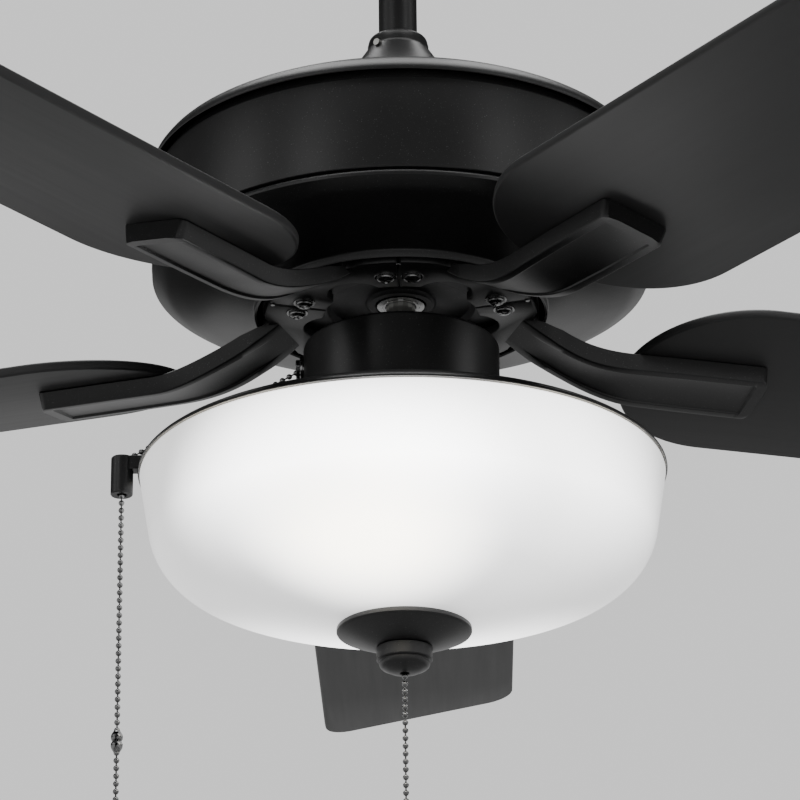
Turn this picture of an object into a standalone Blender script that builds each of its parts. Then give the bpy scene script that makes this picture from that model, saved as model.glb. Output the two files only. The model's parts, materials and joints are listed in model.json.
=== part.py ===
"""Ceiling fan with light: five pitched blades on cast irons under a round motor housing, hung from the
ceiling by a short downrod, with a glass bowl light and two bead pull chains below."""

from math import asin, atan2, cos, hypot, pi, radians, sin, sqrt, tan

import bmesh
import bpy
from mathutils import Matrix, Vector

# Sizes in millimetres. Heights are z, with the ceiling at z = 0.
gap = 0.3            # between pieces that touch
slip = 0.35          # radial, between a piece and the hole it sits in

# Hanging from the ceiling
bracket_x, bracket_y, bracket_h, bracket_t = 66.0, 44.0, 46.0, 2.5
slot_pitch, slot_r, slot_len = 89.0, 2.7, 9.0        # ceiling screws
ear_half, ear_h = 8.0, 18.5
wire_hole_r = 6.0
canopy_r, canopy_h, canopy_wall, canopy_hole_r = 66.0, 62.0, 1.5, 22.0
canopy_screw_z, canopy_screw_r = -15.0, 2.0
ball_r, ball_seat_r = 19.0, 15.5
rod_r, rod_wall, rod_length, rod_above_ball = 10.65, 2.3, 186.8, 14.0
cross_pin_r, yoke_pin_r = 2.0, 3.0

# Coupling cover and motor shaft
cover_over_rod, cover_h, cover_wall, cover_foot_r = 48.0, 56.7, 1.2, 43.0
set_screw_r, set_screw_turn = 2.0, -125.0
yoke_wall, yoke_depth, yoke_pin_up, shaft_r, flange_r = 4.0, 32.0, 15.0, 8.0, 38.0

# Motor housing
dome_h, dome_r, dome_hole_r, housing_wall = 31.0, 136.2, 30.0, 1.5
groove_h, groove_r = 2.4, 130.0
band_top_r, band_r, band_h = 133.3, 134.7, 52.6
shell_drop, mouth_r, lip_h = 20.4, 79.2, 5.1

# Motor
rotor_r, rotor_wall, hub_r, hub_floor = 118.0, 3.0, 75.5, 7.5
bearing_r, bearing_h, boss_r = 16.1, 8.8, 18.3
core_h, core_r, tooth_count = 18.0, 111.0, 12
nut_r, nut_h = 11.8, 5.5

# Blades and irons
blade_count, blade_tip_r, blade_root_r, blade_w, blade_t = 5, 660.0, 128.0, 133.0, 5.5
blade_pitch, tip_corner_r = radians(11.1), 18.0
iron_drop, iron_end_r, iron_w, iron_t, foot_t = 22.6, 207.5, 41.0, 9.7, 5.2
foot_in_r, foot_out_r, foot_turn, neck_turn, neck_w = 42.0, 73.5, radians(36), radians(16.1), 36.0
neck_start, neck_end, notch_r = 64.0, 128.0, 15.0
iron_screw_r, iron_screw_turn = 56.5, radians(28.9)

# Switch housing and light
switch_drop, switch_r, switch_h, switch_wall = 23.3, 52.6, 60.0, 1.5
pan_r, pan_h, pan_wall = 140.2, 13.7, 1.2
glass_r, glass_h, glass_wall, glass_corner_r = 139.3, 81.5, 4.0, 35.0
glass_lean, glass_slope, glass_flat_r = radians(9.3), radians(15.5), 32.0
centre_rod_r, centre_rod_wall = 5.0, 2.0
washer_r, washer_t = 27.0, 1.9
disc_r, disc_rim_h, disc_h = 35.4, 3.2, 10.9
knob_r, knob_h = 14.6, 13.8
lamp_r, lamp_tip_x, lamp_base_r, lamp_drop = 24.0, 119.0, 13.2, 41.0
holder_r, holder_len, holder_wall = 17.5, 32.0, 3.8
socket_half, socket_leg = 16.0, 52.0

# Pull chains
chain_r, pull_travel = 1.6, 8.6
neck_r, neck_bore_r, neck_drop = 5.2, 4.1, 11.0
pull_switch_r, pull_switch_gap = 12.0, 8.1        # body, and from it to the inside of the housing
guide_r, guide_h, guide_off, guide_arm_h = 5.95, 21.4, 8.8, 8.0
fan_drop_len, fan_lower_len, light_chain_len = 146.4, 112.0, 205.0
fob_r, fob_h, connector_r, connector_h = 6.0, 24.0, 3.1, 11.5

coarse, medium, fine = 30, 18, 10    # sides of large, middling and small round pieces

# Heights that follow from the sizes
seat_z = -bracket_h + bracket_t
ball_z = seat_z + sqrt(ball_r ** 2 - ball_seat_r ** 2) + gap
rod_top = ball_z + rod_above_ball
rod_bottom = rod_top - rod_length
cover_top = rod_bottom + cover_over_rod
cover_bottom = cover_top - cover_h
dome_top = cover_bottom - gap
dome_bottom = dome_top - dome_h
band_top = dome_bottom - groove_h
band_bottom = band_top - band_h
mouth_z = band_bottom - shell_drop
rotor_top = band_top - 6
rotor_step = band_bottom + 4
rotor_face = mouth_z - gap
blade_z = rotor_face - iron_drop
switch_top = rotor_face - switch_drop
pan_top = switch_top - switch_h - gap
glass_top = pan_top - pan_h
glass_bottom = glass_top - glass_h
washer_top = glass_bottom - gap
disc_top = washer_top - washer_t - gap
knob_top = disc_top - disc_h - gap
knob_bottom = knob_top - knob_h
yoke_top = rod_bottom + yoke_depth
yoke_pin_z = rod_bottom + yoke_pin_up
lamp_z = pan_top - lamp_drop
neck_z = switch_top - neck_drop
guide_x = -(pan_r + guide_off)
guide_top = pan_top + 0.2
guide_bottom = guide_top - guide_h

for thing in list(bpy.data.objects):
    bpy.data.objects.remove(thing)
parts = bpy.data.collections.new("ceiling_fan")
cutters = bpy.data.collections.new("cutters")
for collection in (parts, cutters):
    bpy.context.scene.collection.children.link(collection)


def material(name, colour, roughness, metallic=0.0, alpha=1.0):
    made = bpy.data.materials.new(name)
    made.use_nodes = True
    shader = made.node_tree.nodes["Principled BSDF"]
    shader.inputs["Base Color"].default_value = (*colour, 1)
    shader.inputs["Roughness"].default_value = roughness
    shader.inputs["Metallic"].default_value = metallic
    shader.inputs["Alpha"].default_value = alpha
    return made


black = material("satin_black", (0.012, 0.012, 0.012), 0.4, 0.3)
blade_black = material("blade_black", (0.02, 0.02, 0.02), 0.5)
steel = material("zinc_steel", (0.55, 0.55, 0.53), 0.35, 1.0)
chrome = material("bright_nickel", (0.8, 0.8, 0.8), 0.12, 1.0)
iron_grey = material("core_steel", (0.25, 0.25, 0.26), 0.5, 0.9)
alloy = material("cast_alloy", (0.05, 0.05, 0.052), 0.55, 0.7)
copper = material("copper_wire", (0.6, 0.27, 0.1), 0.35, 1.0)
phenolic = material("phenolic", (0.03, 0.025, 0.02), 0.5)
opal = material("opal_glass", (0.9, 0.89, 0.86), 0.25)
lamp_white = material("lamp_white", (0.9, 0.9, 0.88), 0.4)
rubber = material("rubber", (0.05, 0.05, 0.05), 0.8)
gunmetal = material("gunmetal_chain", (0.09, 0.09, 0.09), 0.3, 1.0)


def put(name, mesh, finish, collection=parts, smooth=True):
    """Puts a mesh in millimetres into the scene, in metres."""
    mesh.transform(Matrix.Scale(0.001, 4))
    thing = bpy.data.objects.new(name, mesh)
    collection.objects.link(thing)
    if smooth:
        mesh.shade_smooth()
        mesh.set_sharp_from_angle(angle=radians(35))
    if finish:
        mesh.materials.append(finish)
    if collection == cutters:
        thing.hide_render = True
        thing.display_type = "WIRE"
    return thing


def bmesh_to(name, shape, finish, collection=parts, smooth=True):
    mesh = bpy.data.meshes.new(name)
    bmesh.ops.recalc_face_normals(shape, faces=shape.faces)
    shape.to_mesh(mesh)
    shape.free()
    return put(name, mesh, finish, collection, smooth)


def origin_at(thing, point):
    """Moves the object's origin to a point in millimetres, with its mesh left where it is."""
    place = Vector(point) * 0.001
    thing.data.transform(Matrix.Translation(-place))
    thing.location = place


def turned(name, profile, finish, sides=coarse, place=(0, 0, 0), along="Z", closed=True, collection=parts):
    """A profile of (radius, height) turned about its own axis, which then points along X, -X or Z."""
    mesh = bpy.data.meshes.new(name)
    points = [(r * 0.001, 0, z * 0.001) for r, z in profile]
    edges = [(i, i + 1) for i in range(len(points) - 1)]
    if closed:
        edges.append((len(points) - 1, 0))
    mesh.from_pydata(points, edges, [])
    thing = bpy.data.objects.new(name, mesh)
    collection.objects.link(thing)
    screw = thing.modifiers.new("turn", "SCREW")
    screw.steps = screw.render_steps = sides
    screw.use_merge_vertices = True
    screw.merge_threshold = 0.00001
    screw.use_smooth_shade = True
    if along == "X":
        thing.rotation_euler = (0, pi / 2, 0)
    elif along == "-X":
        thing.rotation_euler = (0, -pi / 2, 0)
    thing.location = Vector(place) * 0.001
    if finish:
        mesh.materials.append(finish)
    if collection == cutters:
        thing.hide_render = True
        thing.display_type = "WIRE"
    return thing


def skin(outer, wall):
    """A closed profile of a wall: the outer points, top to bottom, then the same line set in by the wall."""
    ways = [(Vector(b) - Vector(a)).normalized() for a, b in zip(outer, outer[1:])]
    normals = [Vector((-way.y, way.x)) for way in ways]
    inner = []
    for i, point in enumerate(outer):
        first, last = normals[max(i - 1, 0)], normals[min(i, len(normals) - 1)]
        middle = (first + last).normalized()
        inner.append(tuple(Vector(point) - middle * (wall / max(middle.dot(first), 0.3))))
    return list(outer) + inner[::-1]


def ring(inner_r, outer_r, top, bottom):
    return [(outer_r, top), (outer_r, bottom), (inner_r, bottom), (inner_r, top)]


def arc(centre_r, centre_z, radius, start, end, count):
    steps = [start + (end - start) * i / count for i in range(count + 1)]
    return [(centre_r + radius * cos(step), centre_z + radius * sin(step)) for step in steps]


def box(name, low, high, finish=None, collection=parts, bevel=0.0):
    shape = bmesh.new()
    bmesh.ops.create_cube(shape, size=1)
    size = [b - a for a, b in zip(low, high)]
    bmesh.ops.scale(shape, vec=size, verts=shape.verts)
    bmesh.ops.translate(shape, vec=[(a + b) / 2 for a, b in zip(low, high)], verts=shape.verts)
    thing = bmesh_to(name, shape, finish, collection, smooth=False)
    if bevel:
        rounding = thing.modifiers.new("rounding", "BEVEL")
        rounding.width, rounding.segments = bevel * 0.001, 2
    return thing


def rod(name, radius, start, end, finish=None, sides=fine, collection=parts):
    """A plain cylinder between two points."""
    shape = bmesh.new()
    way = Vector(end) - Vector(start)
    bmesh.ops.create_cone(
        shape, cap_ends=True, segments=sides, radius1=radius, radius2=radius, depth=way.length
    )
    turn = way.to_track_quat("Z", "Y").to_matrix()
    bmesh.ops.rotate(shape, matrix=turn, verts=shape.verts)
    bmesh.ops.translate(shape, vec=(Vector(start) + Vector(end)) / 2, verts=shape.verts)
    return bmesh_to(name, shape, finish, collection)


def combine(thing, other, operation="DIFFERENCE"):
    modifier = thing.modifiers.new(operation.lower(), "BOOLEAN")
    modifier.operation = operation
    modifier.object = other


def cut_rod(thing, radius, start, end, sides=fine):
    combine(thing, rod(thing.name + "_hole", radius, start, end, sides=sides, collection=cutters))


def cut_box(thing, low, high):
    combine(thing, box(thing.name + "_cut", low, high, collection=cutters))


def add_box(thing, low, high):
    combine(thing, box(thing.name + "_add", low, high, collection=cutters), "UNION")


def hex_nut(name, radius, bore, top, height, finish):
    nut = rod(name, radius, (0, 0, top - height), (0, 0, top), finish, sides=6)
    cut_rod(nut, bore, (0, 0, top + 1), (0, 0, top - height - 1), sides=medium)
    return nut


def chain(name, route):
    """A free bead chain as a plain tube through the route's own points."""
    curve = bpy.data.curves.new(name, "CURVE")
    curve.dimensions = "3D"
    spline = curve.splines.new("POLY")
    spline.points.add(len(route) - 1)
    for point, place in zip(spline.points, route):
        point.co = (*(value * 0.001 for value in place), 1)
    curve.bevel_depth = chain_r * 0.001
    curve.bevel_resolution = 2
    curve.use_fill_caps = True
    curve.materials.append(gunmetal)
    thing = bpy.data.objects.new(name, curve)
    parts.objects.link(thing)
    return thing


def smooth_route(points, spacing):
    """Points about this far apart on one smooth curve through the route's own points."""
    ends = [2 * points[0] - points[1], *points, 2 * points[-1] - points[-2]]
    route = []
    for before, start, end, after in zip(ends, ends[1:], ends[2:], ends[3:]):
        count = max(1, round((end - start).length / spacing))
        for step in range(count):
            t = step / count
            route.append(
                0.5 * (2 * start + (end - before) * t + (2 * before - 5 * start + 4 * end - after) * t ** 2
                       + (3 * start - before - 3 * end + after) * t ** 3)
            )
    route.append(points[-1])
    return [tuple(point) for point in route]


def make_bracket():
    bracket = box(
        "hanger_bracket", (-bracket_x / 2, -bracket_y / 2, -bracket_h), (bracket_x / 2, bracket_y / 2, 0), steel
    )
    inside = bracket_x / 2 - bracket_t
    cut_box(bracket, (-inside, -bracket_y, -bracket_h + bracket_t), (inside, bracket_y, -bracket_t))
    room = canopy_r - canopy_wall - 2.0
    reach = sqrt(room ** 2 - ear_half ** 2)
    side = sqrt(room ** 2 - (bracket_y / 2 - 2) ** 2)
    add_box(bracket, (-side, -bracket_y / 2 + 2, -bracket_t + 0.01), (side, bracket_y / 2 - 2, 0))
    add_box(bracket, (-reach, -ear_half, -bracket_t), (reach, ear_half, -0.01))
    for sign in (-1, 1):
        low, high = sorted((sign * reach, sign * (reach - bracket_t)))
        add_box(bracket, (low, -ear_half + 0.1, -ear_h), (high, ear_half - 0.1, -0.4))
        cut_rod(bracket, canopy_screw_r + slip, (sign * (reach - 6), 0, canopy_screw_z),
                (sign * (reach + 6), 0, canopy_screw_z))
        middle, half = sign * slot_pitch / 2, slot_len / 2 - slot_r
        cut_box(bracket, (middle - half, -slot_r, -bracket_t - 3), (middle + half, slot_r, 3))
        for end in (middle - half, middle + half):
            cut_rod(bracket, slot_r, (end, 0, -bracket_t - 3), (end, 0, 3))
    cut_rod(bracket, ball_seat_r, (0, 0, -bracket_h - 3), (0, 0, seat_z + 3), sides=coarse)
    cut_box(bracket, (-rod_r - 1.5, 0, -bracket_h - 3), (rod_r + 1.5, bracket_y, seat_z + 3))
    cut_rod(bracket, wire_hole_r, (0, 13, -bracket_t - 3), (0, 13, 3))


def make_canopy():
    outer = [(canopy_r, -0.8), (canopy_r, -0.2 * canopy_h)]
    outer += [(canopy_r * r, -canopy_h * z) for r, z in ((0.975, 0.36), (0.89, 0.58), (0.73, 0.79), (0.52, 0.93))]
    outer += [(canopy_hole_r + 4, -canopy_h + 0.6), (canopy_hole_r, -canopy_h)]
    canopy = turned("canopy", skin(outer, canopy_wall), black)
    for sign, side in ((-1, "left"), (1, "right")):
        cut_rod(canopy, canopy_screw_r + slip, (sign * (canopy_r - 8), 0, canopy_screw_z),
                (sign * (canopy_r + 8), 0, canopy_screw_z))
        head = canopy_r + gap
        length, head_h = 12.0, 2.4
        profile = [(0, head_h), (2.6, head_h - 0.4), (4.2, 0.6), (4.2, 0), (canopy_screw_r, 0),
                   (canopy_screw_r, -length), (0, -length)]
        turned("canopy_screw_" + side, profile, chrome, fine, (sign * head, 0, canopy_screw_z),
               "X" if sign > 0 else "-X", closed=False)


def make_hanger():
    bore = rod_r + slip
    rise = sqrt(ball_r ** 2 - bore ** 2)
    start = asin(rise / ball_r)
    profile = arc(0, 0, ball_r, start, -start, 12)
    ball = turned("hanger_ball", profile, phenolic, medium, (0, 0, ball_z))
    cut_rod(ball, cross_pin_r + slip, (-ball_r - 5, 0, ball_z), (ball_r + 5, 0, ball_z))
    pin_half = sqrt(ball_r ** 2 - cross_pin_r ** 2) - 0.6
    rod("ball_cross_pin", cross_pin_r, (-pin_half, 0, ball_z), (pin_half, 0, ball_z), steel)
    tube = turned("downrod", ring(rod_r - rod_wall, rod_r, rod_top, rod_bottom), black, medium)
    cut_rod(tube, cross_pin_r + slip, (-20, 0, ball_z), (20, 0, ball_z))
    cut_rod(tube, yoke_pin_r + slip, (-20, 0, yoke_pin_z), (20, 0, yoke_pin_z))


def make_cover():
    top_r = rod_r + slip
    outer = [(top_r + 0.6, cover_top), (top_r + 3.2, cover_top - 0.9), (top_r + 5.3, cover_top - 4.3),
             (top_r + 6.2, cover_top - 7)]
    spread = cover_foot_r - top_r
    outer += [(top_r + spread * r, cover_top - cover_h * z)
              for r, z in ((0.27, 0.205), (0.49, 0.39), (0.76, 0.68), (0.95, 0.9), (1, 1))]
    cover = turned("coupling_cover", skin(outer, cover_wall), black, coarse)
    turn = radians(set_screw_turn)
    height = cover_top - 9.5
    way = Vector((cos(turn), sin(turn), 0))
    level = Vector((0, 0, height))
    surface = top_r + 8.2
    cut_rod(cover, set_screw_r + slip, level + way * (rod_r + 1), level + way * (surface + 8))
    rod("coupling_set_screw", set_screw_r, level + way * (rod_r + 0.6), level + way * (surface + 1.4), steel)


def make_shaft():
    bore, outer = rod_r + slip, rod_r + slip + yoke_wall
    yoke_floor = rod_bottom - 0.8
    flange_top = dome_top - housing_wall - 0.8
    profile = [(0, yoke_floor), (bore, yoke_floor), (bore, yoke_top), (outer, yoke_top), (outer, yoke_floor - 4),
               (shaft_r + 2, yoke_floor - 6), (shaft_r + 2, flange_top), (flange_r, flange_top),
               (flange_r, flange_top - 3), (shaft_r, flange_top - 3), (shaft_r, switch_top - 12),
               (0, switch_top - 12)]
    shaft = turned("motor_shaft", profile, steel, medium, closed=False)
    cut_rod(shaft, yoke_pin_r + slip, (-25, 0, yoke_pin_z), (25, 0, yoke_pin_z))
    half = outer + 2.5
    head = [(0, half + 2), (yoke_pin_r + 1.2, half + 2), (yoke_pin_r + 1.2, outer + 0.5), (yoke_pin_r, outer + 0.5),
            (yoke_pin_r, -half), (0, -half)]
    turned("yoke_pin", head, steel, fine, (0, 0, yoke_pin_z), "X", closed=False)
    hex_nut("shaft_nut", nut_r, shaft_r + slip, rotor_face + 6.8, nut_h, chrome)
    hex_nut("switch_housing_nut", nut_r, shaft_r + slip, switch_top - switch_wall - gap, 4.0, steel)


def make_housing():
    dome = [(dome_hole_r, dome_top), (cover_foot_r, dome_top - 0.2)]
    span = dome_r - cover_foot_r
    dome += [(cover_foot_r + span * r, dome_top - dome_h * z)
             for r, z in ((0.36, 0.18), (0.7, 0.41), (0.88, 0.6), (0.955, 0.75), (0.99, 0.87), (1, 0.95), (1, 1))]
    turned("housing_dome", skin(dome, housing_wall), black)
    band = [(groove_r, band_top + 5), (groove_r, band_top), (band_top_r, band_top), (band_r, band_bottom)]
    turned("housing_band", skin(band, housing_wall), black)
    seat = band_r - housing_wall - 0.6
    rim = band_bottom - gap
    shell = [(seat, band_bottom + 4), (seat, rim), (band_r - 0.3, rim - 0.2)]
    shell += [(band_r - out, rim - drop) for out, drop in ((0.8, 2.8), (3.2, 5.6), (8.7, 8.8), (18.7, 11.8))]
    shell += [(mouth_r + 1.2, mouth_z + 0.4), (mouth_r, mouth_z - 0.8), (mouth_r, mouth_z - lip_h)]
    turned("housing_lower", skin(shell, housing_wall), black)


def make_motor():
    face, floor = rotor_face, rotor_face + hub_floor
    bore = bearing_r + slip
    seat = face + hub_floor
    cup = [(rotor_r, rotor_top), (rotor_r, rotor_step), (hub_r, rotor_step - 4), (hub_r, face), (40, face),
           (38, face + 4.3), (boss_r + 1.7, face + 4.3), (boss_r, face + 2), (nut_r + 1.7, face + 2),
           (nut_r + 1.7, seat), (bore, seat), (bore, seat + bearing_h + 0.4), (bore + 3.5, seat + bearing_h + 0.4),
           (bore + 3.5, floor + 0.4), (hub_r - rotor_wall, floor + 0.4), (hub_r - rotor_wall, rotor_step - 1),
           (rotor_r - rotor_wall, rotor_step + 3), (rotor_r - rotor_wall, rotor_top)]
    turned("rotor_shell", cup, alloy)
    low = rotor_top + gap
    lid = [(bore, low + bearing_h + 1.8), (bore + 3.5, low + bearing_h + 1.8), (bore + 3.5, low + rotor_wall),
           (rotor_r, low + rotor_wall), (rotor_r, low), (shaft_r + 4, low), (shaft_r + 4, low + 1), (bore, low + 1)]
    turned("rotor_cover", lid, alloy)
    for name, bottom in (("upper_bearing", low + 1 + gap), ("lower_bearing", seat + gap)):
        turned(name, ring(shaft_r + slip, bearing_r, bottom + bearing_h, bottom), chrome, medium)
    middle = (rotor_top + rotor_step + 3) / 2
    shape = bmesh.new()
    outline = []
    for tooth in range(tooth_count):
        for share, radius in ((0, core_r), (0.32, core_r), (0.64, core_r), (0.66, core_r - 20), (0.98, core_r - 20)):
            turn = 2 * pi * (tooth + share) / tooth_count
            outline.append(shape.verts.new((radius * cos(turn), radius * sin(turn), middle - core_h / 2)))
    plate = shape.faces.new(outline)
    lifted = bmesh.ops.extrude_face_region(shape, geom=[plate])["geom"]
    bmesh.ops.translate(shape, vec=(0, 0, core_h), verts=[v for v in lifted if isinstance(v, bmesh.types.BMVert)])
    core = bmesh_to("stator_core", shape, iron_grey, smooth=False)
    cut_rod(core, shaft_r + slip, (0, 0, middle - core_h), (0, 0, middle + core_h), sides=medium)
    room = (rotor_top - rotor_step - 3 - core_h) / 2 - 2.5
    for name, side in (("upper_winding", 1), ("lower_winding", -1)):
        centre = middle + side * (core_h / 2 + gap + room / 2)
        loop = [(90 + 16 * cos(2 * pi * i / 10), centre - room / 2 * sin(2 * pi * i / 10)) for i in range(10)]
        turned(name, loop, copper, medium)


def iron_outline():
    """Half of an iron seen from above, from its inner notch to its outer end: (along, across)."""
    edge_turn = foot_turn - asin((gap + 0.1) / foot_out_r)
    half = [(foot_in_r - 2 + notch_r, 0)]
    half += [(foot_in_r - 2 + notch_r * cos(radians(t)), notch_r * sin(radians(t))) for t in (30, 60, 85)]
    half += [(foot_in_r * cos(t), foot_in_r * sin(t))
             for t in (radians(23), radians(29), edge_turn - 0.008)]
    half += [(foot_out_r * cos(t), foot_out_r * sin(t))
             for t in (edge_turn, (2 * edge_turn + neck_turn) / 3, (edge_turn + 2 * neck_turn) / 3, neck_turn)]
    half += [(neck_start + 5, neck_w / 2 - 2), (neck_start + 14, neck_w / 2), (neck_start + 33, neck_w / 2),
             (neck_end, iron_w / 2 - 1), (iron_end_r - 7, iron_w / 2), (iron_end_r - 3.5, iron_w / 2 - 1.2),
             (iron_end_r - 1.2, iron_w / 2 - 6), (iron_end_r, 0)]
    return half


def drop_share(along):
    """How far an iron has come down from its feet (0) to the blade's plane (1)."""
    share = min(max((along - neck_start) / (neck_end - neck_start), 0), 1)
    return 1 - (1 - share) ** 2


def make_iron(index, turn):
    half = iron_outline()
    outline = half + [(along, -across) for along, across in half[-2:0:-1]]
    shape = bmesh.new()
    face = shape.faces.new([shape.verts.new((along, across, 0)) for along, across in outline])
    lifted = bmesh.ops.extrude_face_region(shape, geom=[face])["geom"]
    bmesh.ops.translate(shape, vec=(0, 0, 1), verts=[v for v in lifted if isinstance(v, bmesh.types.BMVert)])
    for along in (neck_start, 68, 73, 79, 86, 94, 103, 113, 121, neck_end):
        bmesh.ops.bisect_plane(
            shape, geom=shape.verts[:] + shape.edges[:] + shape.faces[:], plane_co=(along, 0, 0), plane_no=(1, 0, 0)
        )
    feet_top = rotor_face - gap
    tongue_top = blade_z - gap
    for vert in shape.verts:
        share = drop_share(vert.co.x)
        thick = foot_t + (iron_t - foot_t) * min(max((vert.co.x - neck_start) / 22, 0), 1)
        bottom = feet_top - foot_t + (tongue_top - iron_t - feet_top + foot_t) * share
        twist = min(max((vert.co.x - 92) / (neck_end - 92), 0), 1)
        tilt = blade_pitch * twist ** 2 * (3 - 2 * twist)
        height = bottom + thick * vert.co.z
        pivot = tongue_top
        away = height - pivot
        vert.co.z = pivot + away * cos(tilt) - vert.co.y * sin(tilt)
        vert.co.y = vert.co.y * cos(tilt) + away * sin(tilt)
    bmesh.ops.rotate(shape, matrix=Matrix.Rotation(turn, 3, "Z"), verts=shape.verts)
    iron = bmesh_to(f"blade_iron_{index}", shape, black)
    for side in (-1, 1):
        spot = turn + side * iron_screw_turn
        x, y = iron_screw_r * cos(spot), iron_screw_r * sin(spot)
        cut_rod(iron, 2.7, (x, y, feet_top - foot_t - 3), (x, y, feet_top + 3), sides=10)
    return iron


def blade_outline():
    """Half of a blade seen from above, round root to square tip: (along, across)."""
    half_w = blade_w / 2
    half = [(blade_root_r + half_w * (1 - cos(radians(t))), half_w * sin(radians(t))) for t in range(0, 91, 10)]
    tip = blade_tip_r - tip_corner_r
    half += [(tip + tip_corner_r * sin(radians(t)), half_w - tip_corner_r * (1 - cos(radians(t))))
             for t in range(0, 91, 18)]
    return half


def make_blade(index, turn):
    half = blade_outline()
    outline = half + [(along, -across) for along, across in half[:0:-1]]
    shape = bmesh.new()
    face = shape.faces.new([shape.verts.new((along, across, 0)) for along, across in outline])
    lifted = bmesh.ops.extrude_face_region(shape, geom=[face])["geom"]
    bmesh.ops.translate(shape, vec=(0, 0, blade_t), verts=[v for v in lifted if isinstance(v, bmesh.types.BMVert)])
    bmesh.ops.rotate(shape, matrix=Matrix.Rotation(-blade_pitch, 3, "X"), verts=shape.verts)
    bmesh.ops.translate(shape, vec=(0, 0, blade_z), verts=shape.verts)
    bmesh.ops.rotate(shape, matrix=Matrix.Rotation(turn, 3, "Z"), verts=shape.verts)
    bmesh_to(f"blade_{index}", shape, blade_black)


def make_switch_housing():
    bottom = switch_top - switch_h
    outer = [(shaft_r + slip + 0.2, switch_top), (switch_r - 1.8, switch_top), (switch_r, switch_top - 1.8),
             (switch_r, bottom)]
    housing = turned("switch_housing", skin(outer, switch_wall), black)
    cut_rod(housing, neck_r + slip, (-switch_r - 5, 0, neck_z), (-switch_r + 8, 0, neck_z))
    cut_box(housing, (-5.9, switch_r - 6, neck_z - 2.4), (5.9, switch_r + 4, neck_z + 2.4))
    inner = switch_r - switch_wall
    box("capacitor", (19, -17, bottom + 8), (inner - 7, 17, bottom + 38), phenolic, bevel=1.5)
    at_x = -(inner - pull_switch_gap - pull_switch_r)
    fan_switch = rod("fan_pull_switch", pull_switch_r, (at_x, 0, neck_z - 9), (at_x, 0, neck_z + 9), phenolic, medium)
    neck = rod("fan_switch_neck", neck_r, (at_x - 7, 0, neck_z), (-switch_r - 4, 0, neck_z), collection=cutters)
    combine(fan_switch, neck, "UNION")
    cut_rod(fan_switch, neck_bore_r, (at_x - 13, 0, neck_z), (-switch_r - 8, 0, neck_z))
    light_switch = rod("light_pull_switch", pull_switch_r, (0, 0, bottom + 12), (0, 0, bottom + 28), phenolic, medium)
    stub = rod("light_switch_neck", neck_r, (0, 0, bottom + 7), (0, 0, bottom + 15), collection=cutters)
    combine(light_switch, stub, "UNION")
    cut_rod(light_switch, chain_r + 0.9, (0, 0, bottom + 3), (0, 0, bottom + 14))
    box("reverse_switch", (-10, switch_r - 16, neck_z - 6), (10, switch_r - 6.8, neck_z + 6), phenolic, bevel=0.8)
    slider = box("reverse_slider", (-5.5, switch_r - 6.5, neck_z - 2), (-0.5, switch_r + 2.8, neck_z + 2), phenolic)
    origin_at(slider, (-3, switch_r, neck_z))


def pan_profile():
    return [(centre_rod_r + slip, pan_top), (switch_r + 3, pan_top), (pan_r - 20, pan_top - 0.33 * pan_h),
            (pan_r - 9.2, pan_top - 0.49 * pan_h), (pan_r - 3, pan_top - 0.7 * pan_h), (pan_r, pan_top - 0.9 * pan_h),
            (pan_r, pan_top - pan_h + gap)]


def glass_profile():
    """Outside of the bowl: a wall leaning in, a round corner, a shallow cone and a flat seat."""
    wall_out = Vector((-cos(glass_lean), sin(glass_lean)))
    cone_out = Vector((-sin(glass_slope), cos(glass_slope)))
    wall_at = Vector((glass_r, glass_top)) + wall_out * glass_corner_r
    flat_z = glass_bottom
    cone_at = Vector((glass_flat_r, flat_z)) + cone_out * glass_corner_r
    down, out = Vector((-sin(glass_lean), -cos(glass_lean))), Vector((cos(glass_slope), sin(glass_slope)))
    away = cone_at - wall_at
    reach = (away.x * out.y - away.y * out.x) / (down.x * out.y - down.y * out.x)
    centre = wall_at + down * reach
    start, end = atan2(-wall_out.y, -wall_out.x), atan2(-cone_out.y, -cone_out.x)
    corner = arc(centre.x, centre.y, glass_corner_r, start, end, 5)
    return [(glass_r, glass_top), *corner, (glass_flat_r + 12, flat_z + 12 * tan(glass_slope)),
            (glass_flat_r, flat_z + 0.3), (glass_flat_r - 6, flat_z), (centre_rod_r + slip + 1, flat_z)]


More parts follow.
